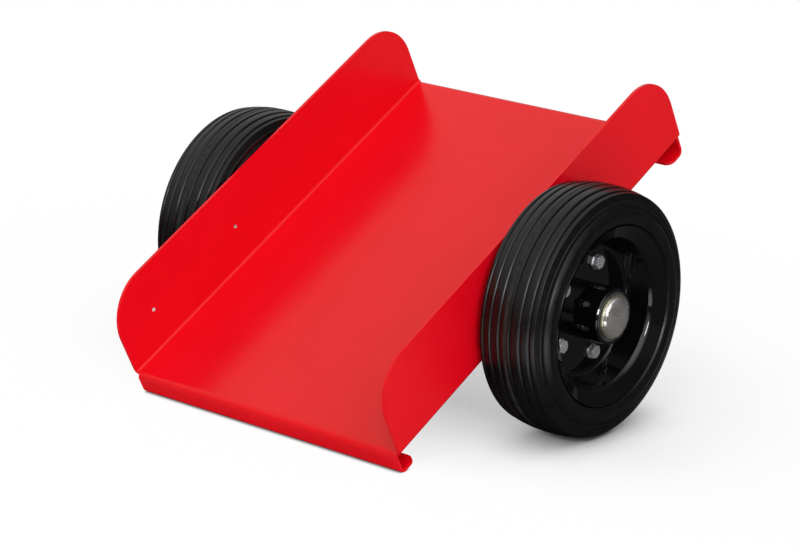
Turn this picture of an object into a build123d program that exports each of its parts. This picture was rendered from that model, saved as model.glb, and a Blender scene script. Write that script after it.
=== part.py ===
from build123d import *
import os
from math import asin, atan2, cos, degrees, hypot, radians, sin

# Two-wheeled beam cart: a folded steel tray on one axle between two solid-rubber wheels.
# Millimetres, +Z up, +X from the near lip to the far lip, +Y to the left.

# Tray, folded from one blank of sheet steel
tray_length = 400.0            # over the faces of the two end lips
tray_width = 280.0             # over the side walls
tray_sheet = 2.5
bend_radius = 3.0              # inside of every fold
wall_height = 76.0             # from the underside of the bed
wall_corner_radius = 40.0      # top corners of the side walls
wall_setback = 2.0             # the wall ends stop this far short of the lip faces
lip_depth = 18.7               # from the underside of the bed to the underside of a lip's foot
lip_return = 18.4              # from the face of a lip to the cut edge of its foot
foot_corner_radius = 7.0
lip_overrun = 1.2              # the lips run this far past the start of the walls' folds
relief_slit = 0.3              # between the end of a lip and the end of a wall's fold
hole_diameter = 3.2            # the pair of holes in the left wall
hole_spacing = 108.0
hole_pair_offset = 104.0       # middle of the pair, from the axle towards the near lip
hole_height = 36.5             # above the underside of the bed

# Axle and its stitch welds
axle_diameter = 20.0
axle_stickout = 3.6            # past the star washer
axle_chamfer = 1.0
weld_root_gap = 0.5            # between the top of the axle and the bed
weld_root = 1.5                # from the axle's middle plane to the root of a bead
weld_toe_flat = 0.45           # how far a bead's toe on the bed stands out past its toe on the axle
weld_spread = 65.0             # degrees round the axle, from its top to a bead's toe
weld_length = 40.0
weld_pitch = 90.0
weld_count = 3                 # beads along each side of the axle

# What holds a wheel on the axle
thrust_washer_land = 8.5       # radial width outside the axle
thrust_washer_thickness = 1.0
end_float = 0.3                # at each end of the hub
star_washer_land = 7.9
star_washer_thickness = 0.8
star_teeth = 8
star_slot_width = 2.0
star_slot_depth = 4.0          # length of a tooth
cap_rim = 1.5                  # the star washer shows this far outside the cap
cap_sheet = 0.6
cap_headroom = 3.1             # between the end of the axle and the top of the dome
cap_knuckle_radius = 3.8       # outside of the bend at the edge of the dome

# Hub and roller bearing
hub_length = 60.0
hub_wall = 4.5
hub_chamfer = 0.8
roller_diameter = 7.9
roller_count = 8
running_clearance = 0.05       # between a roller and each of its two tracks
end_ring_land = 1.8            # radial depth of the seat for a bearing end ring
end_ring_thickness = 2.5
end_ring_recess = 0.5          # the ring lies this far inside the end of the hub
end_ring_clearance = 0.4       # between an end ring and the axle
cage_gap = 1.2                 # between the cage and the axle, and between the cage and the hub
cage_float = 1.0               # between the cage and each end ring
cage_end_band = 6.0            # closed band at each end of the cage
pocket_clearance = 0.15
seat_clearance = 0.05          # between pieces that are pressed or slid together

# Rim: two pressed halves, bolted back to back
rim_sheet = 2.0
bolt_circle = 77.0
rim_width = 59.4               # over the edges of the two flanges
disc_margin = 8.0              # from the bolt washers to the bend at the edge of the disc
barrel_flare = 7.2             # radial growth of the barrel from the disc to the flange
flange_width = 11.6            # radial width of the flange
flange_rise = 6.7              # axial rise of the flange
disc_bend_radius = 4.0         # inside of the bend between disc and barrel
mouth_bend_radius = 4.5        # inside of the bend between barrel and flange
hub_weld_leg = 2.2

# Bolts that clamp the rim halves
bolt_count = 5
bolt_diameter = 6.0
bolt_flats = 10.0              # across the flats of head and nut
bolt_head_height = 3.8
bolt_tip = 2.0                 # thread showing past the nut
bolt_clearance = 0.2           # in the rim halves and washers
nut_height = 5.0
bolt_washer_diameter = 13.0
bolt_washer_thickness = 1.0

# Solid rubber tyre
tyre_radius = 100.0
tread_width = 52.0
shoulder_radius = 1.5
crown_drop = 3.4               # radial fall from the middle to the edge of the tread
groove_places = (0.2, 0.54, 0.842)     # as shares of the half tread
groove_width = 1.8
groove_depth = 1.6
bead_step = 0.4                # the tyre starts this far inside the plane of the rim's edge
sidewall_shares = (0.12, 0.40, 0.61, 0.77)     # bead, ridge, ridge's foot, edge ring: from rim to tread
outer_rises = (1.4, 2.0, -1.0, -1.5)           # past the plane of the rim's edge, on the outer sidewall
inner_rises = (0.2, 0.5, -1.0, -1.5)           # the same on the inner sidewall, clear of the tray's wall
sidewall_rounding = 0.06       # radius of the sidewall's corners, as a share of its height
bore_start = 0.38              # where the tyre starts to lie on a rim's barrel, as a share of the barrel
rim_seat_clearance = 0.1       # between the tyre and the rim

# Sizes that follow from the ones above
axle_radius = axle_diameter / 2
axle_drop = axle_radius + weld_root_gap
fold_radius = bend_radius + tray_sheet
fold_start = tray_length / 2 - fold_radius
hub_bore_radius = axle_radius + roller_diameter + 2 * running_clearance
hub_radius = hub_bore_radius + hub_wall
hub_start = tray_width / 2 + thrust_washer_thickness + end_float
hub_end = hub_start + hub_length
wheel_middle = hub_start + hub_length / 2
star_start = hub_end + end_float
star_end = star_start + star_washer_thickness
axle_end = star_end + axle_stickout
end_ring_depth = end_ring_recess + end_ring_thickness
cage_length = hub_length - 2 * (end_ring_depth + cage_float)
roller_length = cage_length - 2 * cage_end_band
roller_circle_radius = (axle_radius + hub_bore_radius) / 2
disc_radius = bolt_circle / 2 + bolt_washer_diameter / 2 + disc_margin
tread_half = tread_width / 2
bolt_hole_diameter = bolt_diameter + 2 * bolt_clearance

# The near lip's lower fold and both tyres stand on the floor, which sets the tilt of the tray.
fold_fall = lip_depth - fold_radius - axle_drop
fold_reach = hypot(fold_start, fold_fall)
tilt = degrees(asin((tyre_radius - fold_radius) / fold_reach) - atan2(fold_fall, fold_start))

SIDES = {"left": 1, "right": -1}


def turned(points, side, radii=None):
    """Ring turned about the axle from (radius, distance from the cart's middle plane) points."""
    corners = [(radius, side * distance) for radius, distance in points]
    outline = FilletPolyline(*corners, radius=radii, close=True) if radii else Polyline(*corners, close=True)
    return revolve(make_face(outline), axis=Axis.Y)


def direction(start, end):
    """Unit step from one point to another."""
    length = hypot(end[0] - start[0], end[1] - start[1])
    return (end[0] - start[0]) / length, (end[1] - start[1]) / length


def behind(line, distance):
    """An open line moved sideways to its right by a distance, with its corners kept sharp."""
    steps = [direction(start, end) for start, end in zip(line, line[1:])]
    moved = []
    for point, (ax, ay), (bx, by) in zip(line, steps[:1] + steps, steps + steps[-1:]):
        share = distance / (1 + ax * bx + ay * by)
        moved.append((point[0] + share * (ay + by), point[1] - share * (ax + bx)))
    return moved


def round_bar(diameter, start, end, x=0.0, z=0.0):
    """Cylinder along the axle's direction, between two distances from the middle plane."""
    return Pos(x, (start + end) / 2, z) * Rot(90, 0, 0) * Cylinder(diameter / 2, abs(end - start))


def hexagon(flats, start, end, x, z):
    """Hexagonal prism along the axle's direction, between two distances from the middle plane."""
    prism = extrude(RegularPolygon(flats / 2, 6, major_radius=False), amount=abs(end - start) / 2, both=True)
    return Pos(x, (start + end) / 2, z) * Rot(90, 0, 0) * prism


def around(count, radius):
    """Evenly spaced (x, z) places on a circle about the axle, the first one towards the far lip."""
    angles = [radians(360 * k / count) for k in range(count)]
    return [(radius * cos(angle), radius * sin(angle)) for angle in angles]


def bent_sheet(points, radii, thickness, towards):
    """Section of a folded sheet: one face's line, rounded at the folds and thickened to one side."""
    line = FilletPolyline(*points, radius=radii)
    return make_face(offset(line, amount=thickness, side=towards, closed=True))


def tray_lip(end):
    """C-shaped lip at one end: down from the bed, then back under it to a foot with rounded corners."""
    lip_root = tray_sheet          # stretch of the bed that the lip is joined to
    root = end * (fold_start - lip_root)
    face = end * tray_length / 2
    foot_edge = end * (tray_length / 2 - lip_return)
    bed_half = tray_width / 2 - fold_radius
    half_length = bed_half + lip_overrun
    section = bent_sheet(
        [(root, tray_sheet), (face, tray_sheet), (face, -lip_depth), (foot_edge, -lip_depth)],
        fold_radius, tray_sheet, Side.RIGHT if end > 0 else Side.LEFT)
    plan = make_face(FilletPolyline(
        (face, -half_length), (foot_edge, -half_length), (foot_edge, half_length), (face, half_length),
        radius=[0, foot_corner_radius, foot_corner_radius, 0], close=True))
    lip = extrude(Plane.XZ * section, amount=half_length, both=True)
    lip = lip & extrude(plan, amount=lip_depth + tray_sheet, both=True)
    overrun = Box(2 * lip_root, lip_overrun, tray_sheet)
    for side in SIDES.values():
        lip -= Pos(root, side * (bed_half + lip_overrun / 2), tray_sheet / 2) * overrun
    return lip


def folded_tray():
    """The whole folded blank, with its bed level and the bed's underside at z = 0."""
    half_width = tray_width / 2
    half_wall = tray_length / 2 - wall_setback
    section = bent_sheet(
        [(-half_width, wall_height), (-half_width, 0), (half_width, 0), (half_width, wall_height)],
        fold_radius, tray_sheet, Side.LEFT)
    profile = make_face(FilletPolyline(
        (-half_wall, 0), (half_wall, 0), (half_wall, wall_height), (-half_wall, wall_height),
        radius=[0, 0, wall_corner_radius, wall_corner_radius], close=True))
    tray = extrude(Plane.YZ * section, amount=half_wall, both=True)
    tray = tray & extrude(Plane.XZ * profile, amount=half_width, both=True)
    lip_length = tray_width - 2 * (fold_radius - lip_overrun)
    end_cut = Box(2 * fold_radius, lip_length + 2 * relief_slit, 2 * fold_radius)
    for end in (-1, 1):
        tray -= Pos(end * (fold_start + fold_radius), 0, 0) * end_cut
        tray += tray_lip(end)
    for shift in (-hole_spacing / 2, hole_spacing / 2):
        tray -= round_bar(hole_diameter, 0, tray_width, shift - hole_pair_offset, hole_height)
    return tray


def axle_bar():
    """Plain round bar with chamfered ends."""
    bar = round_bar(axle_diameter, -axle_end, axle_end)
    return chamfer(bar.edges().filter_by(GeomType.CIRCLE), axle_chamfer)


def weld_beads():
    """Stitch beads in the corner between the bed's underside and the axle, in the tray's frame."""
    spread = radians(weld_spread)
    toe = axle_radius * sin(spread)
    toe_height = axle_radius * cos(spread) - axle_drop
    bar = Pos(0, 0, -axle_drop) * round_bar(axle_diameter, -axle_end, axle_end)
    beads = []
    for edge in (-1, 1):
        section = make_face(Polyline(
            (edge * weld_root, 0), (edge * (toe + weld_toe_flat), 0), (edge * toe, toe_height), close=True))
        bead = extrude(Plane.XZ * section, amount=weld_length / 2, both=True) - bar
        for k in range(weld_count):
            beads.append(Pos(0, (k - (weld_count - 1) / 2) * weld_pitch, 0) * bead)
    return beads


def plain_ring(inner, outer, start, end, side):
    """Ring of rectangular section about the axle."""
    return turned([(inner, start), (outer, start), (outer, end), (inner, end)], side)


def thrust_washer(side):
    """Plain washer between the tray's wall and the hub."""
    start = tray_width / 2
    return plain_ring(axle_radius + seat_clearance, axle_radius + thrust_washer_land,
                      start, start + thrust_washer_thickness, side)


def star_washer(side):
    """Spring washer whose inner edge is slotted into teeth that grip the axle."""
    inner = axle_radius + seat_clearance
    slot_end = inner + star_slot_depth
    washer = plain_ring(inner, axle_radius + star_washer_land, star_start, star_end, side)
    slot = Pos(slot_end / 2, side * star_end, 0) * Box(slot_end, hub_length, star_slot_width)
    for k in range(star_teeth):
        washer -= Rot(0, 360 * k / star_teeth, 0) * slot
    return washer


def dome_line(edge, height, knuckle):
    """Two tangent arcs of a pressed dome: the bend at its edge, then the crown up to its top on the axis."""
    crown = ((edge - knuckle) ** 2 + height ** 2 - knuckle ** 2) / (2 * (height - knuckle))
    sweep = degrees(asin((edge - knuckle) / (crown - knuckle)))
    bend = JernArc((edge, star_end), (0, 1), knuckle, 90 - sweep)
    return [bend, JernArc(bend @ 1, bend % 1, crown, sweep)]


def axle_cap(side):
    """Cap that stands on the star washer: a pressed dome, one sheet thick."""
    radius = axle_radius + star_washer_land - cap_rim
    height = axle_stickout + cap_headroom + cap_sheet
    outside = dome_line(radius, height, cap_knuckle_radius)
    inside = dome_line(radius - cap_sheet, height - cap_sheet, cap_knuckle_radius - cap_sheet)
    edge = Line(outside[0] @ 0, inside[0] @ 0)
    top = Line(outside[1] @ 1, inside[1] @ 1)
    cap = revolve(make_face(Curve() + [*outside, top, *inside, edge]), axis=Axis.Y)
    return cap if side > 0 else mirror(cap, Plane.XZ)


def hub_tube(side):
    """Tube with a seat for a bearing ring in each end."""
    seat = hub_bore_radius + end_ring_land
    near, far = hub_start + end_ring_depth, hub_end - end_ring_depth
    return turned([
        (hub_bore_radius, near), (seat, near), (seat, hub_start), (hub_radius - hub_chamfer, hub_start),
        (hub_radius, hub_start + hub_chamfer), (hub_radius, hub_end - hub_chamfer),
        (hub_radius - hub_chamfer, hub_end), (seat, hub_end), (seat, far), (hub_bore_radius, far)], side)


def bearing_ring(side, start):
    """Ring that closes one end of the hub and keeps the rollers in."""
    return plain_ring(axle_radius + end_ring_clearance, hub_bore_radius + end_ring_land - seat_clearance,
                      start, start + end_ring_thickness, side)


def roller_cage(side):
    """Sleeve with a pocket for each roller, open to the axle and to the hub."""
    start = wheel_middle - cage_length / 2
    cage = plain_ring(axle_radius + cage_gap, hub_bore_radius - cage_gap, start, start + cage_length, side)
    half_pocket = roller_length / 2 + pocket_clearance
    for x, z in around(roller_count, roller_circle_radius):
        cage -= round_bar(roller_diameter + 2 * pocket_clearance, side * (wheel_middle - half_pocket),
                          side * (wheel_middle + half_pocket), x, z)
    return cage


def bearing_rollers(side):
    """Needle rollers that run between the axle and the hub's bore."""
    start, end = wheel_middle - roller_length / 2, wheel_middle + roller_length / 2
    return [round_bar(roller_diameter, side * start, side * end, x, z)
            for x, z in around(roller_count, roller_circle_radius)]


# The line of a rim half's visible face, as (radius, distance outwards from the wheel's middle plane)
rim_line = [
    (hub_radius + seat_clearance, rim_sheet),
    (disc_radius, rim_sheet),
    (disc_radius + barrel_flare, rim_width / 2 - flange_rise),
    (disc_radius + barrel_flare + flange_width, rim_width / 2),
]


def rim_half(side, face):
    """Pressed dish: flat disc, barrel and flange, with holes for the clamping bolts."""
    hidden_line = behind(rim_line, rim_sheet)
    bends = [0, disc_bend_radius, mouth_bend_radius + rim_sheet, 0,
             0, mouth_bend_radius, disc_bend_radius + rim_sheet, 0]
    dish = Pos(0, side * wheel_middle, 0) * turned(rim_line + hidden_line[::-1], side * face, bends)
    for x, z in around(bolt_count, bolt_circle / 2):
        dish -= round_bar(bolt_hole_diameter, side * hub_start, side * hub_end, x, z)
    return dish


def hub_weld(side):
    """Fillet weld round the hub, on the inner rim half."""
    root = wheel_middle - rim_sheet
    toe = hub_radius + hub_weld_leg
    return turned([(hub_radius, root), (toe, root), (hub_radius, root - hub_weld_leg)], side)


def tread_radius(place):
    """Radius of the tread at a distance from the tyre's middle plane: flat middle rib, then crowned."""
    rib = groove_places[0] * tread_half
    return tyre_radius - crown_drop * (place ** 2 - rib ** 2) / (tread_half ** 2 - rib ** 2)


def tyre_half(rises):
    """Section of one half of the tyre, from its bore to its middle rib, with the corners' radii."""
    _, valley, bend, tip = behind(rim_line, rim_sheet + rim_seat_clearance)
    seat = (valley[0] + bore_start * (bend[0] - valley[0]), valley[1] + bore_start * (bend[1] - valley[1]))
    out_r, out_u = direction(bend, tip)
    bead = (tip[0] + rim_seat_clearance * out_r, tip[1] + rim_seat_clearance * out_u)
    edge_r, edge_u = rim_line[-1]
    shoulder = tread_radius(tread_half)
    height = shoulder - edge_r
    section = [seat, bend, bead, (bead[0], edge_u - bead_step)]
    section += [(edge_r + share * height, edge_u + rise) for share, rise in zip(sidewall_shares, rises)]
    section += [(shoulder, tread_half)]
    radii = [0, mouth_bend_radius - rim_seat_clearance, 0, 0]
    radii += len(rises) * [sidewall_rounding * height] + [shoulder_radius]
    for share in reversed(groove_places):
        place = share * tread_half
        near, far = place - groove_width / 2, place + groove_width / 2
        top = tread_radius(place)
        section += [(top, far), (top - groove_depth, place), (top, near)]
        radii += [0, 0, 0]
    return section, radii


def tyre(side):
    """Solid tyre: grooved tread, a ridge on each sidewall, and a bore that fits the rim."""
    outer, outer_radii = tyre_half(outer_rises)
    inner, inner_radii = tyre_half(inner_rises)
    inner = [(radius, -place) for radius, place in reversed(inner)]
    section = [(radius, wheel_middle + place) for radius, place in outer + inner]
    return turned(section, side, outer_radii + inner_radii[::-1])


def rim_bolts(side):
    """Hexagon bolts with their heads on the outer rim half."""
    seat = wheel_middle + rim_sheet + bolt_washer_thickness
    tip = wheel_middle - rim_sheet - nut_height - bolt_tip
    return [hexagon(bolt_flats, side * seat, side * (seat + bolt_head_height), x, z)
            + round_bar(bolt_diameter, side * tip, side * seat, x, z)
            for x, z in around(bolt_count, bolt_circle / 2)]


def rim_nuts(side):
    """Hexagon nuts on the inner rim half."""
    seat = wheel_middle - rim_sheet
    bore = bolt_diameter + 2 * seat_clearance
    return [hexagon(bolt_flats, side * seat, side * (seat - nut_height), x, z)
            - round_bar(bore, side * hub_start, side * hub_end, x, z)
            for x, z in around(bolt_count, bolt_circle / 2)]


def bolt_washers(side):
    """Plain washers under the bolt heads."""
    seat = wheel_middle + rim_sheet
    return [round_bar(bolt_washer_diameter, side * seat, side * (seat + bolt_washer_thickness), x, z)
            - round_bar(bolt_hole_diameter, side * hub_start, side * hub_end, x, z)
            for x, z in around(bolt_count, bolt_circle / 2)]


def tilted(shape):
    """From the tray's level frame to its place on the axle, with the near lip down."""
    return Rot(0, -tilt, 0) * Pos(0, 0, axle_drop) * shape


# Every node, about the axle's middle point
nodes = {
    "tray": tilted(folded_tray()),
    "axle": axle_bar(),
    "axle_welds": tilted(Compound(weld_beads())),
}
for name, side in SIDES.items():
    nodes |= {
        f"thrust_washer_{name}": thrust_washer(side),
        f"star_washer_{name}": star_washer(side),
        f"axle_cap_{name}": axle_cap(side),
        f"tyre_{name}": tyre(side),
        f"outer_rim_{name}": rim_half(side, 1),
        f"inner_rim_{name}": rim_half(side, -1),
        f"hub_{name}": hub_tube(side),
        f"hub_weld_{name}": hub_weld(side),
        f"outer_bearing_ring_{name}": bearing_ring(side, hub_end - end_ring_depth),
        f"inner_bearing_ring_{name}": bearing_ring(side, hub_start + end_ring_recess),
        f"roller_cage_{name}": roller_cage(side),
        f"bearing_rollers_{name}": Compound(bearing_rollers(side)),
        f"rim_bolts_{name}": Compound(rim_bolts(side)),
        f"rim_nuts_{name}": Compound(rim_nuts(side)),
        f"bolt_washers_{name}": Compound(bolt_washers(side)),
    }

# The origin lies on the floor, under the middle of the cart's length and width.
axle_x = -nodes["tray"].bounding_box().center().X
os.makedirs("parts", exist_ok=True)
for node, shape in nodes.items():
    export_step(Pos(axle_x, 0, tyre_radius) * shape, f"parts/{node}.step")
print(f"tilt {tilt:.4f} degrees, axle at x = {axle_x:.4f}, z = {tyre_radius:.4f}")
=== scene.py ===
import bmesh
import bpy
from math import asin, cos, hypot, pi, radians, sin
from mathutils import Matrix, Vector


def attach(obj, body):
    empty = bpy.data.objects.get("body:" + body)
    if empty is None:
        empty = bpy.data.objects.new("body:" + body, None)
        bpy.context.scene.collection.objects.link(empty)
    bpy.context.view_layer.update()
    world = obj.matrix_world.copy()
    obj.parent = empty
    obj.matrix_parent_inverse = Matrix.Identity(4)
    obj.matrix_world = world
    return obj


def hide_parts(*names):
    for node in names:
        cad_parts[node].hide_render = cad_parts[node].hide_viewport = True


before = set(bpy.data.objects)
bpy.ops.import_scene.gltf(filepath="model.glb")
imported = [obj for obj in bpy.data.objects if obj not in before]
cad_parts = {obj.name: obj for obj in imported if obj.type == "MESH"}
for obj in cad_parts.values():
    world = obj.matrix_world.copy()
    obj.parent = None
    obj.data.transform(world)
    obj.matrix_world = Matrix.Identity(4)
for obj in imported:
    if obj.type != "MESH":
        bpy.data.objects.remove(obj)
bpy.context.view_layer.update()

# Tray: one blank of 2.5 mm sheet steel with a flat bed, two side walls and a C-shaped lip at each end.
# It is cut out, folded on a press brake and powder coated in gloss red.
# Its cut edges are rounded by the deburring and the coat, and two holes in the left wall are drilled bare.
mm = 0.001
sheet = 2.5 * mm
fold_middle = 4.25 * mm                      # radius of a fold, in the middle of the sheet
fold_steps = 8
bed_half_length = 194.5 * mm                 # to the start of a lip's fold
bed_half_width = 134.5 * mm                  # to the start of a wall's fold
wall_half_length = 198 * mm
wall_top = 76 * mm
wall_corner = 40 * mm
wall_end_start = 136 * mm                    # the walls run on past the lips' folds from here outwards
lip_overrun = 1.2 * mm                       # past the start of the walls' folds
lip_low_fold = -13.2 * mm
wall_foot = sheet / 2 + fold_middle
foot_half = bed_half_width + lip_overrun
foot_edge = 181.6 * mm
foot_corner = 7 * mm
wall_corner_steps = 20
foot_corner_steps = 8
hole_radius = 1.6 * mm
hole_height = 36.5 * mm
hole_places = (-158 * mm, -50 * mm)
hole_reach = hole_radius + 0.1 * mm
hole_steps = 32
cut_edge_rounding = 0.45 * mm
axle_place = Vector((11.5495 * mm, 0, 100 * mm))
axle_drop = 10.5 * mm                        # from the bed's underside to the axle's middle
tilt = radians(28.2705)
tolerance = 0.01 * mm
merge_distance = 0.005 * mm


def pick(kind, test):
    """Selects, in edit mode, the vertices, edges or faces whose corners all pass a test of their place."""
    bpy.ops.mesh.select_mode(type=kind)
    bpy.ops.mesh.select_all(action="DESELECT")
    mesh = bmesh.from_edit_mesh(bpy.context.object.data)
    group = {"VERT": mesh.verts, "EDGE": mesh.edges, "FACE": mesh.faces}[kind]
    for element in group:
        corners = [element] if kind == "VERT" else element.verts
        element.select = all(test(corner.co) for corner in corners)
    mesh.select_flush_mode()
    bmesh.update_edit_mesh(bpy.context.object.data)


def near(value, goal):
    """Whether a coordinate lies at a place."""
    return abs(value - goal) < tolerance


def draw_out(x=0.0, y=0.0, z=0.0):
    """Extrudes the selected edges or faces and moves the new ones by a step."""
    bpy.ops.mesh.extrude_region_move(TRANSFORM_OT_translate={"value": (x, y, z)})


def start_piece(name):
    """Names the new primitive and goes into edit mode with all of it selected."""
    piece = bpy.context.object
    piece.name = name
    piece.data.name = name
    bpy.ops.object.mode_set(mode="EDIT")
    bpy.ops.mesh.select_mode(type="VERT")
    bpy.ops.mesh.select_all(action="SELECT")
    return piece


def close_up():
    """Joins doubled vertices, turns all faces outwards and leaves edit mode."""
    bpy.ops.mesh.select_all(action="SELECT")
    bpy.ops.mesh.remove_doubles(threshold=merge_distance)
    bpy.ops.mesh.normals_make_consistent(inside=False)
    bpy.ops.object.mode_set(mode="OBJECT")


def choose(piece):
    """Makes a piece the only selected one, and the active one."""
    bpy.ops.object.select_all(action="DESELECT")
    piece.select_set(True)
    bpy.context.view_layer.objects.active = piece


def finish_modifier(piece, kind, **settings):
    """Adds a modifier to a piece and applies it."""
    modifier = piece.modifiers.new(kind.title(), kind)
    for setting, value in settings.items():
        setattr(modifier, setting, value)
    choose(piece)
    bpy.ops.object.modifier_apply(modifier=modifier.name)


def settle(piece, place, turn=0.0, smooth=30):
    """Moves a finished piece to its place, leaned back by an angle, and smooths its round faces."""
    choose(piece)
    piece.rotation_euler = (0, -turn, 0)
    piece.location = place
    bpy.ops.object.transform_apply(location=True, rotation=True, scale=True)
    bpy.ops.object.shade_smooth_by_angle(angle=radians(smooth))


def on_lip_end(co, end, side):
    """Whether a place lies on the end of one lip, where a wall's fold starts."""
    on_lip = end * co.x > bed_half_length - tolerance or co.z < lip_low_fold
    past_foot = end * co.x > foot_edge - tolerance
    return near(co.y, side * bed_half_width) and past_foot and co.z < sheet / 2 + tolerance and on_lip


bpy.ops.object.select_all(action="DESELECT")
bpy.ops.mesh.primitive_plane_add(size=2, location=(0, 0, 0))
tray = start_piece("tray_sheet")
bpy.ops.transform.resize(value=(bed_half_length, bed_half_width, 1))
bpy.ops.transform.translate(value=(0, 0, sheet / 2))
for side in (-1, 1):
    pick("EDGE", lambda co: near(co.y, side * bed_half_width))
    bpy.ops.mesh.spin(steps=fold_steps, angle=-side * pi / 2, axis=(1, 0, 0),
                      center=(0, side * bed_half_width, sheet / 2 + fold_middle))
    for end in (-1, 1):
        pick("EDGE", lambda co: near(co.x, end * bed_half_length) and side * co.y > wall_end_start)
        draw_out(x=end * (wall_half_length - bed_half_length))
    pick("EDGE", lambda co: near(co.z, wall_foot) and side * co.y > bed_half_width)
    draw_out(z=wall_top - wall_foot)
    pick("EDGE", lambda co: near(abs(co.x), bed_half_length) and side * co.y > bed_half_width
         and co.z > wall_foot - tolerance)
    bpy.ops.mesh.dissolve_edges()
    pick("VERT", lambda co: near(co.z, wall_top) and side * co.y > 0)
    bpy.ops.mesh.bevel(offset=wall_corner, segments=wall_corner_steps,
                       affect="VERTICES", clamp_overlap=False)
for end in (-1, 1):
    pick("EDGE", lambda co: near(co.x, end * bed_half_length) and abs(co.y) < bed_half_width + tolerance
         and near(co.z, sheet / 2))
    bpy.ops.mesh.spin(steps=fold_steps, angle=-end * pi / 2, axis=(0, 1, 0),
                      center=(end * bed_half_length, 0, sheet / 2 - fold_middle))
    pick("EDGE", lambda co: near(co.z, sheet / 2 - fold_middle) and end * co.x > bed_half_length)
    draw_out(z=lip_low_fold - sheet / 2 + fold_middle)
    pick("EDGE", lambda co: near(co.z, lip_low_fold) and end * co.x > bed_half_length)
    bpy.ops.mesh.spin(steps=fold_steps, angle=-end * pi / 2, axis=(0, 1, 0),
                      center=(end * bed_half_length, 0, lip_low_fold))
    pick("EDGE", lambda co: near(co.z, lip_low_fold - fold_middle) and near(co.x, end * bed_half_length))
    draw_out(x=end * (foot_edge - bed_half_length))
    for side in (-1, 1):
        pick("EDGE", lambda co: on_lip_end(co, end, side))
        draw_out(y=side * lip_overrun)
        pick("EDGE", lambda co: on_lip_end(co, end, side))
        bpy.ops.mesh.dissolve_edges()
    pick("VERT", lambda co: near(co.x, end * foot_edge) and near(abs(co.y), foot_half))
    bpy.ops.mesh.bevel(offset=foot_corner, segments=foot_corner_steps,
                       affect="VERTICES", clamp_overlap=False)
close_up()
finish_modifier(tray, "SOLIDIFY", thickness=sheet, offset=0, use_even_offset=True)
for place in hole_places:
    bpy.ops.mesh.primitive_cylinder_add(
        vertices=hole_steps, radius=hole_radius, depth=4 * fold_middle, rotation=(pi / 2, 0, 0),
        location=(place, bed_half_width + fold_middle, hole_height))
    drill = bpy.context.object
    finish_modifier(tray, "BOOLEAN", operation="DIFFERENCE", object=drill, solver="EXACT")
    bpy.data.objects.remove(drill)
finish_modifier(tray, "BEVEL", width=cut_edge_rounding, segments=3,
                limit_method="ANGLE", angle_limit=radians(50))


def new_finish(name, metallic=0.0, roughness=0.5, gloss=0.5):
    """New material with a plain shader."""
    material = bpy.data.materials.new(name)
    material.use_nodes = True
    shader = material.node_tree.nodes["Principled BSDF"]
    shader.inputs["Metallic"].default_value = metallic
    shader.inputs["Roughness"].default_value = roughness
    shader.inputs["Specular IOR Level"].default_value = gloss
    return material


def grain(material, size, low, high, detail=3.0):
    """Noise with grains of a size in metres, on the piece's own coordinates, spread between two values."""
    nodes, links = material.node_tree.nodes, material.node_tree.links
    place = nodes.new("ShaderNodeTexCoord")
    noise = nodes.new("ShaderNodeTexNoise")
    noise.inputs["Scale"].default_value = 1 / size
    noise.inputs["Detail"].default_value = detail
    links.new(place.outputs["Object"], noise.inputs["Vector"])
    spread = nodes.new("ShaderNodeMapRange")
    spread.inputs["From Min"].default_value = 0.3
    spread.inputs["From Max"].default_value = 0.7
    spread.inputs["To Min"].default_value = low
    spread.inputs["To Max"].default_value = high
    links.new(noise.outputs["Fac"], spread.inputs["Value"])
    return spread.outputs["Result"]


def colour_by(material, share, *stops):
    """Base colour from a share between 0 and 1: stops are (share, linear colour)."""
    nodes, links = material.node_tree.nodes, material.node_tree.links
    ramp = nodes.new("ShaderNodeValToRGB")
    while len(ramp.color_ramp.elements) < len(stops):
        ramp.color_ramp.elements.new(1.0)
    for element, (position, colour) in zip(ramp.color_ramp.elements, stops):
        element.position = position
        element.color = (*colour, 1.0)
    links.new(share, ramp.inputs["Fac"])
    links.new(ramp.outputs["Color"], nodes["Principled BSDF"].inputs["Base Color"])


def mottle(material, size, first, second):
    """Base colour that drifts between two linear colours, in grains of a size in metres."""
    colour_by(material, grain(material, size, 0, 1), (0, first), (1, second))


def rough_by(material, value):
    """Roughness from the nodes."""
    nodes, links = material.node_tree.nodes, material.node_tree.links
    links.new(value, nodes["Principled BSDF"].inputs["Roughness"])


def relief(material, height, depth):
    """Bump from a height between 0 and 1, as deep as given in metres."""
    nodes, links = material.node_tree.nodes, material.node_tree.links
    bump = nodes.new("ShaderNodeBump")
    bump.inputs["Distance"].default_value = depth
    links.new(height, bump.inputs["Height"])
    links.new(bump.outputs["Normal"], nodes["Principled BSDF"].inputs["Normal"])


def fit(piece, body, node):
    """Lets a piece ride on a body in place of a CAD node, which it hides."""
    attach(piece, body)
    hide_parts(node)


red_coat = new_finish("red_coat", gloss=0.36)
red_shader = red_coat.node_tree.nodes["Principled BSDF"]
red_shader.inputs["Specular Tint"].default_value = (1, 1, 0.7, 1)
mottle(red_coat, 60 * mm, (0.82, 0.0016, 0.0105), (0.86, 0.0022, 0.0125))
rough_by(red_coat, grain(red_coat, 20 * mm, 0.21, 0.24))
relief(red_coat, grain(red_coat, 1.8 * mm, 0, 1, 1.0), 0.004 * mm)
drilled_steel = new_finish("drilled_steel", metallic=0.3)
mottle(drilled_steel, 0.6 * mm, (0.80, 0.79, 0.78), (0.92, 0.91, 0.90))
rough_by(drilled_steel, grain(drilled_steel, 0.4 * mm, 0.5, 0.65))
tray.data.materials.append(red_coat)
tray.data.materials.append(drilled_steel)
bpy.ops.object.mode_set(mode="EDIT")
for place in hole_places:
    pick("FACE", lambda co: hypot(co.x - place, co.z - hole_height) < hole_reach and co.y > 0)
    tray.active_material_index = 1
    bpy.ops.object.material_slot_assign()
bpy.ops.object.mode_set(mode="OBJECT")
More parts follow.
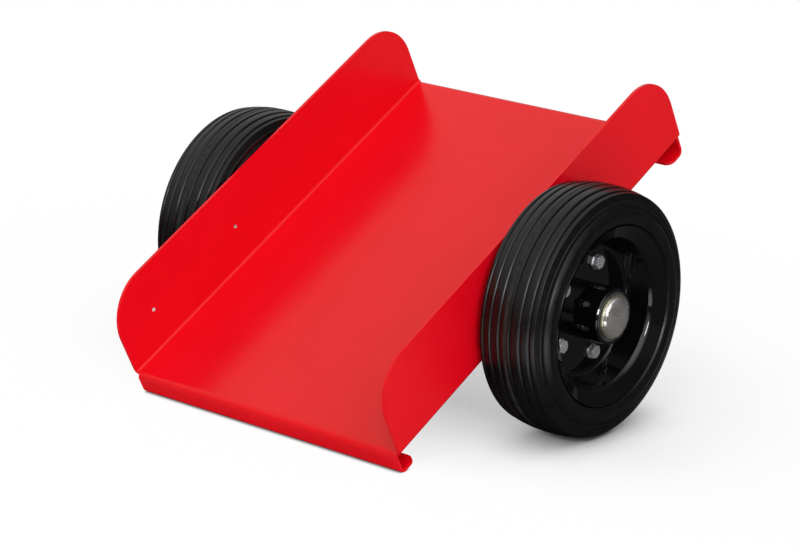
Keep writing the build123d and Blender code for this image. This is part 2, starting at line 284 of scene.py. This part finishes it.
tray_place = axle_place + Matrix.Rotation(-tilt, 3, "Y") @ Vector((0, 0, axle_drop))
settle(tray, tray_place, tilt)
# Flat faces shade flat beside their rounded edges.
finish_modifier(tray, "WEIGHTED_NORMAL", keep_sharp=True, weight=100)
fit(tray, "cart", "tray")

# Axle: a 20 mm round steel bar under the bed, from hub to hub.
# It is coated with the tray and masked where the wheels run, so its ends stay bare drawn steel.
coat_end = 139 * mm                          # from the middle plane to the edge of the masking


def dress(material, *names):
    """Gives CAD nodes a finish."""
    for name in names:
        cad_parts[name].data.materials[0] = material


axle_finish = new_finish("axle_finish")
nodes, links = axle_finish.node_tree.nodes, axle_finish.node_tree.links
place = nodes.new("ShaderNodeTexCoord")
axes = nodes.new("ShaderNodeSeparateXYZ")
links.new(place.outputs["Object"], axes.inputs["Vector"])
away = nodes.new("ShaderNodeMath")
away.operation = "ABSOLUTE"
links.new(axes.outputs["Y"], away.inputs[0])
bare = nodes.new("ShaderNodeMath")
bare.operation = "GREATER_THAN"
bare.inputs[1].default_value = coat_end
links.new(away.outputs["Value"], bare.inputs[0])
links.new(bare.outputs["Value"], nodes["Principled BSDF"].inputs["Metallic"])
colour_by(axle_finish, bare.outputs["Value"], (0, (0.84, 0.002, 0.0115)), (1, (0.52, 0.51, 0.50)))
rough_by(axle_finish, grain(axle_finish, 1.5 * mm, 0.26, 0.36))
relief(axle_finish, grain(axle_finish, 1.4 * mm, 0, 1, 1.0), 0.01 * mm)
dress(axle_finish, "axle")

# Axle welds: three stitch beads along each side of the axle, in the corner under the bed.
# They are laid by hand with a wire torch, so they show ripples, and the coat covers them.
weld_length = 38 * mm
weld_pitch = 90 * mm
weld_ripples = 19
weld_points = 16                             # round a bead
weld_swell = 1.09                            # width of a ripple against the dip before it
weld_middle = Vector((6.6 * mm, 0, -2.4 * mm))
weld_half_width = 3.4 * mm
weld_half_height = 2.6 * mm
weld_slope = radians(48)
weld_end_swell = weld_swell ** 3             # a bead's ends taper by this much


def turned_copy(piece, turn, place=(0, 0, 0)):
    """Copy of a piece with its own mesh, turned and moved."""
    choose(piece)
    bpy.ops.object.duplicate()
    copy = bpy.context.object
    copy.rotation_euler = turn
    copy.location = place
    bpy.ops.object.transform_apply(location=True, rotation=True, scale=True)
    return copy


def join_as(name, pieces):
    """Joins pieces into the first one, and names it."""
    bpy.ops.object.select_all(action="DESELECT")
    for piece in pieces:
        piece.select_set(True)
    bpy.context.view_layer.objects.active = pieces[0]
    bpy.ops.object.join()
    joined = bpy.context.object
    joined.name = name
    joined.data.name = name
    return joined


bpy.ops.object.select_all(action="DESELECT")
bpy.ops.mesh.primitive_circle_add(vertices=weld_points, radius=1, fill_type="NGON", rotation=(pi / 2, 0, 0))
bead = start_piece("weld_beads")
bpy.ops.object.mode_set(mode="OBJECT")
bpy.ops.object.transform_apply(location=False, rotation=True, scale=False)
bpy.ops.object.mode_set(mode="EDIT")
bpy.ops.mesh.select_all(action="SELECT")
bpy.ops.transform.resize(value=(weld_half_width, 1, weld_half_height))
bpy.ops.transform.rotate(value=weld_slope, orient_axis="Y", center_override=(0, 0, 0))
bpy.ops.transform.translate(value=weld_middle - Vector((0, weld_length / 2, 0)))
bpy.ops.transform.resize(value=(1 / weld_end_swell, 1, 1 / weld_end_swell))
weld_step = weld_length / (2 * weld_ripples)
for k in range(2 * weld_ripples):
    draw_out(y=weld_step)
    if k == 0:
        swell = weld_end_swell
    elif k == 2 * weld_ripples - 1:
        swell = 1 / weld_end_swell
    else:
        swell = weld_swell if k % 2 == 0 else 1 / weld_swell
    bpy.ops.transform.resize(value=(swell, 1, swell))
close_up()
beads = [turned_copy(bead, (0, 0, row), (0, k * weld_pitch, 0)) for row in (0, pi) for k in (-1, 0, 1)]
bpy.data.objects.remove(bead)
welds = join_as("weld_beads", beads)
welds.data.materials.append(red_coat)
settle(welds, tray_place, tilt, 50)
fit(welds, "cart", "axle_welds")

# Hubs: a turned steel tube on each wheel, welded to the inner rim half and enamelled black.
# Two pressed zinc-plated rings close each hub, and a nylon cage of ground steel rollers runs between them.
# A plain washer keeps the hub off the tray, and a yellow-zinc star washer holds it on the axle.
black_enamel = new_finish("black_enamel", gloss=0.5)
mottle(black_enamel, 30 * mm, (0.0018, 0.0018, 0.002), (0.0026, 0.0026, 0.0028))
rough_by(black_enamel, grain(black_enamel, 10 * mm, 0.03, 0.05))
relief(black_enamel, grain(black_enamel, 2 * mm, 0, 1, 1.0), 0.002 * mm)
zinc = new_finish("zinc", metallic=0.75)
mottle(zinc, 3 * mm, (0.62, 0.63, 0.65), (0.75, 0.76, 0.78))
rough_by(zinc, grain(zinc, 1 * mm, 0.22, 0.34))
# Darker zinc: the bearing rings' dull finish, and on the bolt washers a painted dark reflection.
dull_zinc_and_shade = new_finish("dull_zinc_and_shade", metallic=1.0)
mottle(dull_zinc_and_shade, 3 * mm, (0.36, 0.36, 0.37), (0.46, 0.46, 0.47))
rough_by(dull_zinc_and_shade, grain(dull_zinc_and_shade, 1 * mm, 0.28, 0.4))
nylon = new_finish("nylon")
mottle(nylon, 5 * mm, (0.66, 0.64, 0.58), (0.74, 0.72, 0.66))
rough_by(nylon, grain(nylon, 1 * mm, 0.4, 0.55))
roller_steel = new_finish("roller_steel", metallic=1.0)
mottle(roller_steel, 4 * mm, (0.60, 0.60, 0.60), (0.68, 0.68, 0.68))
rough_by(roller_steel, grain(roller_steel, 1 * mm, 0.12, 0.2))
yellow_zinc = new_finish("yellow_zinc", metallic=1.0)
mottle(yellow_zinc, 3 * mm, (0.72, 0.68, 0.52), (0.84, 0.81, 0.68))
rough_by(yellow_zinc, grain(yellow_zinc, 1 * mm, 0.22, 0.34))
for side in ("left", "right"):
    dress(black_enamel, f"hub_{side}", f"hub_weld_{side}")
    dress(dull_zinc_and_shade, f"outer_bearing_ring_{side}", f"inner_bearing_ring_{side}")
    dress(zinc, f"thrust_washer_{side}")
    dress(nylon, f"roller_cage_{side}")
    dress(roller_steel, f"bearing_rollers_{side}")
    dress(yellow_zinc, f"star_washer_{side}")

# Rims: two dishes for each wheel, pressed from 2 mm sheet steel and enamelled gloss black.
# They are bolted back to back through their flat discs and hold the tyre between their flanges.
for side in ("left", "right"):
    dress(black_enamel, f"outer_rim_{side}", f"inner_rim_{side}")

# Rim bolts: five M6 hexagon bolts through each pair of rim halves, forged, thread rolled and zinc plated.
# The heads are chamfered to a round edge, and the thread shows past the nuts.
wheel_middle = 171.3 * mm                    # from the cart's middle plane
bolt_count = 5
bolt_place = Vector((38.5 * mm, 0, 0))
hex_radius = 5.7735 * mm                     # over the corners of head and nut
head_seat = 174.3 * mm
head_height = 3.8 * mm
chamfer_start = 4.75 * mm                    # radius of the round edge on a head or nut
chamfer_slope = 1.73
nut_seat = 169.3 * mm
nut_height = 5 * mm
shank_radius = 3 * mm
thread_root = 2.5 * mm
thread_pitch = 1 * mm
thread_turns = 9
round_steps = 32                             # faces round a shank or a nut's bore
washer_steps = 48
cone_steps = 48
bolt_tip = 162.3 * mm


def chamfered_hexagon(name, low, high, both):
    """Hexagonal prism beside the axle between two distances, its end corners cut off by a cone."""
    height = high - low
    middle = bolt_place - Vector((0, (low + high) / 2, 0))
    bpy.ops.object.select_all(action="DESELECT")
    bpy.ops.mesh.primitive_cylinder_add(
        vertices=6, radius=hex_radius, depth=height, rotation=(pi / 2, pi / 2, 0))
    prism = start_piece(name)
    bpy.ops.object.mode_set(mode="OBJECT")
    prism.location = middle
    bpy.ops.object.transform_apply(location=True, rotation=True, scale=True)
    for turn in (pi / 2, -pi / 2) if both else (pi / 2,):
        bpy.ops.mesh.primitive_cone_add(
            vertices=cone_steps, radius1=chamfer_start + chamfer_slope * height, radius2=chamfer_start,
            depth=height, location=middle, rotation=(turn, 0, 0))
        cone = bpy.context.object
        finish_modifier(prism, "BOOLEAN", operation="INTERSECT", object=cone, solver="EXACT")
        bpy.data.objects.remove(cone)
    return prism


def draw_section(name, points):
    """Starts a piece as a line through (radius, distance) points, on the axle's right-hand side."""
    bpy.ops.object.select_all(action="DESELECT")
    bpy.ops.mesh.primitive_plane_add(size=2, location=(0, 0, 0))
    piece = start_piece(name)
    bpy.ops.mesh.merge(type="CENTER")
    places = [Vector((radius, -distance, 0)) for radius, distance in points]
    bpy.ops.transform.translate(value=places[0])
    for here, there in zip(places, places[1:]):
        bpy.ops.mesh.extrude_vertices_move(TRANSFORM_OT_translate={"value": there - here})
    return piece


def round_corner(radius, distance, rounding, segments=3):
    """Rounds one corner of a drawn section."""
    pick("VERT", lambda co: near(co.x, radius) and near(co.y, -distance))
    bpy.ops.mesh.bevel(offset=rounding, segments=segments, affect="VERTICES", clamp_overlap=False)


def close_section(first, last):
    """Joins the two ends of a drawn section."""
    ends = [Vector((radius, -distance, 0)) for radius, distance in (first, last)]
    pick("VERT", lambda co: any((co - end).length < tolerance for end in ends))
    bpy.ops.mesh.edge_face_add()


def turn_section(steps):
    """Spins the drawn section once round the axle and closes it up."""
    bpy.ops.mesh.select_all(action="SELECT")
    bpy.ops.mesh.spin(steps=steps, angle=2 * pi, axis=(0, 1, 0), center=(0, 0, 0))
    close_up()


def five_round(piece, name):
    """Copies a piece to every bolt's place round the axle and joins the copies into one group."""
    group = [turned_copy(piece, (0, 2 * pi * k / bolt_count, 0)) for k in range(bolt_count)]
    bpy.data.objects.remove(piece)
    return join_as(name, group)


def left_copy(piece, name):
    """Mirrored copy of a right-hand piece for the left side, with its own mesh."""
    choose(piece)
    bpy.ops.object.duplicate()
    copy = bpy.context.object
    copy.name = name
    copy.data.name = name
    copy.scale = (1, -1, 1)
    bpy.ops.object.transform_apply(location=True, rotation=True, scale=True)
    bpy.ops.object.mode_set(mode="EDIT")
    bpy.ops.mesh.select_all(action="SELECT")
    bpy.ops.mesh.normals_make_consistent(inside=False)
    bpy.ops.object.mode_set(mode="OBJECT")
    return copy


def fit_both(piece, name, node, body="wheel", smooth=30):
    """Puts a right-hand piece and its mirrored copy on the two wheels in place of two CAD nodes."""
    settle(piece, axle_place, 0, smooth)
    copy = left_copy(piece, f"{name}_left")
    for half, side in ((piece, "right"), (copy, "left")):
        fit(half, "cart" if body == "cart" else f"{body}_{side}", f"{node}_{side}")


bolt = chamfered_hexagon("bolt_set_right", head_seat, head_seat + head_height, False)
thread = [(0, head_seat), (shank_radius, head_seat)]
for k in range(thread_turns):
    crest = bolt_tip + (thread_turns - k) * thread_pitch
    thread += [(shank_radius, crest), (thread_root, crest - thread_pitch / 2)]
thread += [(thread_root, bolt_tip), (0, bolt_tip)]
shank = draw_section("shank", thread)
turn_section(round_steps)
shank.location = bolt_place
finish_modifier(bolt, "BOOLEAN", operation="UNION", object=shank, solver="EXACT")
bpy.data.objects.remove(shank)
bolts = five_round(bolt, "bolt_set_right")
bolts.data.materials.append(zinc)
fit_both(bolts, "bolt_set", "rim_bolts")

# Rim nuts: five M6 hexagon nuts on the inner rim half of each wheel, zinc plated.
# Both ends are chamfered, and the bore runs on the bolt's thread.
thread_play = 0.05 * mm
nut = chamfered_hexagon("nut_set_right", nut_seat - nut_height, nut_seat, True)
bpy.ops.mesh.primitive_cylinder_add(
    vertices=round_steps, radius=shank_radius + thread_play, depth=4 * nut_height,
    rotation=(pi / 2, 0, 0), location=bolt_place - Vector((0, nut_seat, 0)))
bore = bpy.context.object
finish_modifier(nut, "BOOLEAN", operation="DIFFERENCE", object=bore, solver="EXACT")
bpy.data.objects.remove(bore)
nuts = five_round(nut, "nut_set_right")
nuts.data.materials.append(zinc)
fit_both(nuts, "nut_set", "rim_nuts")

# Bolt washers: plain washers under the bolt heads, stamped from sheet steel and zinc plated.
# The stamping leaves their outer edge slightly rounded.
washer_seat = 173.3 * mm
washer_bore = 3.2 * mm
washer_radius = 6.5 * mm
washer_edge_rounding = 0.35 * mm
washer_line = [(washer_bore, washer_seat), (washer_radius, washer_seat), (washer_radius, head_seat),
               (washer_bore, head_seat)]
washer = draw_section("washer_set_right", washer_line)
close_section(washer_line[0], washer_line[-1])
round_corner(washer_radius, head_seat, washer_edge_rounding)
turn_section(washer_steps)
washer.location = bolt_place
choose(washer)
bpy.ops.object.transform_apply(location=True, rotation=True, scale=True)
washers = five_round(washer, "washer_set_right")
# The washers' darker zinc is a painted reflection of the dark rim disc round them.
washers.data.materials.append(dull_zinc_and_shade)
fit_both(washers, "washer_set", "bolt_washers")

# Tyres: solid rubber, moulded in two mould halves and held between the rim halves.
# The tread has seven round-topped ribs, and each sidewall has a thick ridge by the rim and two fine rings.
# The mould's parting line runs round the middle rib, where the rubber is rougher, and lighter in colour as
# a painted highlight.
tyre_radius = 100 * mm
tread_half = 26 * mm
crown_drop = 3.4 * mm
groove_places = (5.2 * mm, 14.05 * mm, 21.9 * mm)
groove_half = 1.1 * mm
groove_floor = 0.4 * mm
groove_depth = 1.6 * mm
rib_round = 0.4 * mm
rib_points = 17                              # across the top of a rib
rib_squareness = 8
shoulder_round = 1.2 * mm
tyre_bore = [(57.32 * mm, 8.14 * mm), (61.93 * mm, 21.57 * mm),
             (72.94 * mm, 27.93 * mm), (72.94 * mm, 29.3 * mm)]
bore_round = 1.65 * mm
bead_radius = 74.8 * mm
bead_round = 1.0 * mm
ridge_radius = 81.7 * mm
ridge_round = 1.6 * mm
sidewalls = {1: (31.1 * mm, 31.7 * mm), -1: (29.9 * mm, 30.2 * mm)}     # bead and ridge, outer and inner
ridge_foot = (86.1 * mm, 29.0 * mm)
fine_rings = ((86.9 * mm, 28.7 * mm), (90.9 * mm, 28.2 * mm))
ring_half = 0.5 * mm
ring_height = 0.35 * mm
parting_highlight_band = (-1.1 * mm, 2.1 * mm)          # round the parting line
rib_base = 99 * mm
tyre_steps = 160


def tread_radius(place):
    """Radius of the tread at a distance from the tyre's middle plane: flat middle rib, then crowned."""
    rib = groove_places[0]
    across = max(abs(place), rib)
    return tyre_radius - crown_drop * (across ** 2 - rib ** 2) / (tread_half ** 2 - rib ** 2)


def sidewall(bead_place, ridge_place):
    """One sidewall from bore to last fine ring, as (radius, distance from the tyre's middle plane)."""
    line = tyre_bore + [(bead_radius, bead_place), (ridge_radius, ridge_place), ridge_foot]
    for radius, place in fine_rings:
        top = place + ring_height
        line += [(radius - ring_half, place), (radius - ring_half / 2, top),
                 (radius + ring_half / 2, top), (radius + ring_half, place - ring_height / 3)]
    return line


def tread():
    """The tread from the outer shoulder to the inner one: round-topped ribs with grooves between."""
    line = []
    stops = [tread_half, *reversed(groove_places), *[-place for place in groove_places], -tread_half]
    for start, stop in zip(stops, stops[1:]):
        high = start - (groove_half if start != tread_half else 0)
        low = stop + (groove_half if stop != -tread_half else 0)
        for k in range(rib_points):
            share = 2 * k / (rib_points - 1) - 1
            place = (high + low) / 2 - share * (high - low) / 2
            line.append((tread_radius(place) - rib_round * share ** rib_squareness, place))
        if stop != -tread_half:
            floor_radius = tread_radius(stop) - groove_depth
            line += [(floor_radius, stop + groove_floor), (floor_radius, stop - groove_floor)]
    return line


inner_wall = [(radius, -place) for radius, place in reversed(sidewall(*sidewalls[-1]))]
section = sidewall(*sidewalls[1]) + tread() + inner_wall
section = [(radius, wheel_middle + place) for radius, place in section]
tyre = draw_section("moulded_tyre_right", section)
close_section(section[0], section[-1])
shoulder = tread_radius(tread_half) - rib_round
for sign, (bead_place, ridge_place) in sidewalls.items():
    round_corner(tyre_bore[1][0], wheel_middle + sign * tyre_bore[1][1], bore_round, 4)
    round_corner(bead_radius, wheel_middle + sign * bead_place, bead_round)
    round_corner(ridge_radius, wheel_middle + sign * ridge_place, ridge_round, 5)
    round_corner(shoulder, wheel_middle + sign * tread_half, shoulder_round, 4)
turn_section(tyre_steps)
rubber = new_finish("rubber", gloss=0.36)
mottle(rubber, 12 * mm, (0.0022, 0.0022, 0.0025), (0.0038, 0.0038, 0.0042))
rough_by(rubber, grain(rubber, 6 * mm, 0.26, 0.34))
relief(rubber, grain(rubber, 1.0 * mm, 0, 1, 2.0), 0.003 * mm)
# A lighter band round the parting line is a painted highlight along the middle rib.
parting_highlight_rubber = new_finish("parting_highlight_rubber", gloss=0.16)
mottle(parting_highlight_rubber, 4 * mm, (0.012, 0.012, 0.012), (0.034, 0.034, 0.034))
rough_by(parting_highlight_rubber, grain(parting_highlight_rubber, 3 * mm, 0.5, 0.7))
tyre.data.materials.append(rubber)
tyre.data.materials.append(parting_highlight_rubber)
bpy.ops.object.mode_set(mode="EDIT")
pick("FACE", lambda co: parting_highlight_band[0] < -co.y - wheel_middle < parting_highlight_band[1]
     and hypot(co.x, co.z) > rib_base)
tyre.active_material_index = 1
bpy.ops.object.material_slot_assign()
bpy.ops.object.mode_set(mode="OBJECT")
fit_both(tyre, "moulded_tyre", "tyre")

# Axle caps: a dome pressed from thin sheet steel on each star washer, polished and chrome plated.
# The dome's edge is rolled in above the washer, and the washer's yellow rim is rolled up round it.
cap_radius = 16.4 * mm
cap_sheet = 0.6 * mm
cap_seat = 202.4 * mm
dome_height = 7.3 * mm
knuckle = 3.8 * mm                           # outside of the bend at the edge of the dome
dome_steps = 12
cap_steps = 96
roll_steps = 16
neck_height = 0.45 * mm                      # the edge of the dome is rolled in above the washer
neck_depth = 0.5 * mm
roll_radius = 17.15 * mm                     # middle of the washer's rolled rim, outside the dome
roll_half = 0.6 * mm


def dome(edge, height, bend):
    """A pressed dome from edge to top on the axis, as (radius, distance) points: a bend, then a crown."""
    crown = ((edge - bend) ** 2 + height ** 2 - bend ** 2) / (2 * (height - bend))
    sweep = asin((edge - bend) / (crown - bend))
    line = []
    for k in range(dome_steps):
        angle = (pi / 2 - sweep) * k / dome_steps
        line.append((edge - bend + bend * cos(angle), cap_seat + bend * sin(angle)))
    for k in range(dome_steps + 1):
        angle = sweep * (1 - k / dome_steps)
        line.append((crown * sin(angle), cap_seat + height - crown * (1 - cos(angle))))
    return line


cap_line = dome(cap_radius - cap_sheet, dome_height - cap_sheet, knuckle - cap_sheet)[::-1]
cap_line += [(cap_radius - neck_depth, cap_seat), (cap_radius - neck_depth, cap_seat + neck_height)]
cap_line += [(radius, place) for radius, place in dome(cap_radius, dome_height, knuckle)
             if place > cap_seat + neck_height]
cap = draw_section("cap_dome_right", cap_line)
turn_section(cap_steps)
chrome = new_finish("chrome", metallic=0.85)
mottle(chrome, 7 * mm, (0.56, 0.54, 0.53), (0.76, 0.73, 0.70))
rough_by(chrome, grain(chrome, 6 * mm, 0.10, 0.16))
relief(chrome, grain(chrome, 6 * mm, 0, 1, 1.0), 0.3 * mm)
cap.data.materials.append(chrome)
roll_line = []
for k in range(roll_steps):
    angle = 2 * pi * k / roll_steps
    roll_line.append((roll_radius + roll_half * cos(angle), cap_seat + roll_half * (1 + sin(angle))))
roll = draw_section("rolled_rim_right", roll_line)
close_section(roll_line[0], roll_line[-1])
turn_section(cap_steps)
roll.data.materials.append(yellow_zinc)
cap = join_as("cap_dome_right", [cap, roll])
fit_both(cap, "cap_dome", "axle_cap", "cart", 40)

# Floor and light: a plain pale studio floor in a white surround, which lights the cart from the front left.
# A strip lamp, and a painted glowing patch on the floor at the front left, show only in the gloss of the
# pieces.
# In that gloss the rest of the floor is dark, and so is the surround towards the right.
glow_patch_place = (-0.36, -0.40, 0)
glow_patch_edge = (0.22, 0.31)                     # where the painted glow starts to fade and where it ends
glow_patch_strength = 2.0
floor_tone = 0.95
floor_in_gloss = 0.11
floor_to_camera = 0.06                       # the rest of what the camera sees there is glow
contact_reach = 0.05                         # of the shadow close to the pieces
surround_reach = 0.5                         # of the wide, soft one
touch_reach = 0.006                          # of the dark line where a piece touches the floor
contact_span = (0, 0.8)                      # openness between which each of them clears
surround_span = (0, 0.9)
touch_span = (0.1, 0.6)
surround_dark = 0.43
touch_dark = 0.05
shadow_fade = (-0.15, 0)                     # the shadow fades out towards the near lip
ambient_light = 0.45
gloss_low = 0.25                             # surround in the gloss, at the horizon
gloss_high = 0.80                            # and high up
gloss_rise = (0, 0.6)                        # heights between which it brightens
dark_share = 0.12
light_peak = 2.2
gloss_peak = 1.3
light_side = (-0.492, -0.587, 0.643)         # middle of the bright part of the surround
light_span = (0.7, 1.0)                      # cosines between which it sets in
dark_side = (0.83, -0.55, 0.1)               # middle of the dark part
dark_span = (0.3, 0.75)


def steps_between(material, value, low, high, first, last):
    """Spreads a value between two limits onto two other values, and holds it there outside of them."""
    nodes, links = material.node_tree.nodes, material.node_tree.links
    spread = nodes.new("ShaderNodeMapRange")
    spread.inputs["From Min"].default_value = low
    spread.inputs["From Max"].default_value = high
    for socket, end in (("To Min", first), ("To Max", last)):
        if isinstance(end, (int, float)):
            spread.inputs[socket].default_value = end
        else:
            links.new(end, spread.inputs[socket])
    links.new(value, spread.inputs["Value"])
    return spread.outputs["Result"]


def combine(material, operation, first, second):
    """Sum or product of two node values."""
    nodes, links = material.node_tree.nodes, material.node_tree.links
    both = nodes.new("ShaderNodeMath")
    both.operation = operation
    links.new(first, both.inputs[0])
    links.new(second, both.inputs[1])
    return both.outputs["Value"]


def openness(material, reach):
    """How far a point lies open to the sky, within a reach in metres."""
    shade = material.node_tree.nodes.new("ShaderNodeAmbientOcclusion")
    shade.samples = 8
    shade.inputs["Distance"].default_value = reach
    return shade.outputs["AO"]


bpy.ops.object.select_all(action="DESELECT")
bpy.ops.mesh.primitive_plane_add(size=12, location=(0, 0, 0))
floor = bpy.context.object
floor.name = "floor"
floor_paint = new_finish("floor_paint", roughness=0.9, gloss=0.0)
nodes, links = floor_paint.node_tree.nodes, floor_paint.node_tree.links
path = nodes.new("ShaderNodeLightPath")
place = nodes.new("ShaderNodeTexCoord")
away = nodes.new("ShaderNodeVectorMath")
away.operation = "DISTANCE"
away.inputs[1].default_value = glow_patch_place
links.new(place.outputs["Object"], away.inputs[0])
# Painted shadow: the floor's glow and its tone in the gloss darken where it lies less open to the sky.
contact = steps_between(floor_paint, openness(floor_paint, contact_reach), *contact_span, 0, 1)
dark = steps_between(floor_paint, contact, 0, 1, 0, floor_in_gloss)
tone = steps_between(floor_paint, path.outputs["Is Glossy Ray"], 0, 1, floor_tone, dark)
tone = steps_between(floor_paint, path.outputs["Is Camera Ray"], 0, 1, tone, floor_to_camera)
links.new(tone, nodes["Principled BSDF"].inputs["Base Color"])
surround = steps_between(floor_paint, openness(floor_paint, surround_reach), *surround_span,
                         surround_dark, floor_tone)
axes = nodes.new("ShaderNodeSeparateXYZ")
links.new(place.outputs["Object"], axes.inputs["Vector"])
shadow = combine(floor_paint, "MULTIPLY", contact, surround)
shadow = steps_between(floor_paint, axes.outputs["X"], *shadow_fade, floor_tone, shadow)
touch = steps_between(floor_paint, openness(floor_paint, touch_reach), *touch_span, touch_dark, 1)
shadow = combine(floor_paint, "MULTIPLY", shadow, touch)
# The painted glowing patch, seen only in the gloss.
glow_patch = steps_between(floor_paint, away.outputs["Value"], *glow_patch_edge, glow_patch_strength, 0)
glow_patch = combine(floor_paint, "MULTIPLY", glow_patch, path.outputs["Is Glossy Ray"])
glow = combine(floor_paint, "MULTIPLY", shadow, path.outputs["Is Camera Ray"])
glow = combine(floor_paint, "ADD", glow, glow_patch)
links.new(glow, nodes["Principled BSDF"].inputs["Emission Strength"])
nodes["Principled BSDF"].inputs["Emission Color"].default_value = (1, 1, 1, 1)
floor.data.materials.append(floor_paint)

world = bpy.data.worlds.new("surround")
bpy.context.scene.world = world
world.use_nodes = True
nodes, links = world.node_tree.nodes, world.node_tree.links
path = nodes.new("ShaderNodeLightPath")
place = nodes.new("ShaderNodeTexCoord")
axes = nodes.new("ShaderNodeSeparateXYZ")
links.new(place.outputs["Generated"], axes.inputs["Vector"])


def lean(direction):
    """Cosine of the angle between the view into the surround and a direction."""
    cosine = nodes.new("ShaderNodeVectorMath")
    cosine.operation = "DOT_PRODUCT"
    cosine.inputs[1].default_value = direction
    links.new(place.outputs["Generated"], cosine.inputs[0])
    return cosine.outputs["Value"]


sky = steps_between(world, axes.outputs["Z"], *gloss_rise, gloss_low, gloss_high)
shade = steps_between(world, lean(dark_side), *dark_span, 1.0, dark_share)
sky = combine(world, "MULTIPLY", sky, shade)
sky = steps_between(world, path.outputs["Is Glossy Ray"], 0, 1, ambient_light, sky)
peak = steps_between(world, path.outputs["Is Glossy Ray"], 0, 1, light_peak, gloss_peak)
sky = combine(world, "ADD", sky, steps_between(world, lean(light_side), *light_span, 0, peak))
sky = steps_between(world, path.outputs["Is Camera Ray"], 0, 1, sky, 1.0)
links.new(sky, nodes["Background"].inputs["Strength"])
nodes["Background"].inputs["Color"].default_value = (1, 1, 1, 1)

strip_place = Vector((-0.96, -1.88, 0.58))
strip_aim = Vector((0, -0.2, 0.1))
lamp = bpy.data.lights.new("strip", "AREA")
lamp.shape = "RECTANGLE"
lamp.size = 0.3
lamp.size_y = 0.5
lamp.energy = 12
strip = bpy.data.objects.new("strip", lamp)
bpy.context.scene.collection.objects.link(strip)
strip.location = strip_place
strip.rotation_euler = (strip_aim - strip_place).to_track_quat("-Z", "Y").to_euler()
strip.visible_diffuse = False

# Camera: a long lens from the front left and a little above, at the photograph's angle.
# Its place, turn and lens were fitted to the tray's corners and the wheels' outlines in the photograph.
camera_place = Vector((-1.76818, -1.45021, 0.76726))
camera_azimuth = radians(-50.5503)
camera_elevation = radians(16.3970)
camera_roll = radians(1.7607)
camera = bpy.data.objects.new("camera", bpy.data.cameras.new("camera"))
bpy.context.scene.collection.objects.link(camera)
camera.data.lens = 131.815
camera.matrix_world = (Matrix.Translation(camera_place)
                       @ Matrix.Rotation(camera_azimuth, 4, "Z")
                       @ Matrix.Rotation(pi / 2 - camera_elevation, 4, "X")
                       @ Matrix.Rotation(camera_roll, 4, "Z"))
bpy.context.scene.camera = camera
bpy.context.scene.view_settings.view_transform = "Standard"
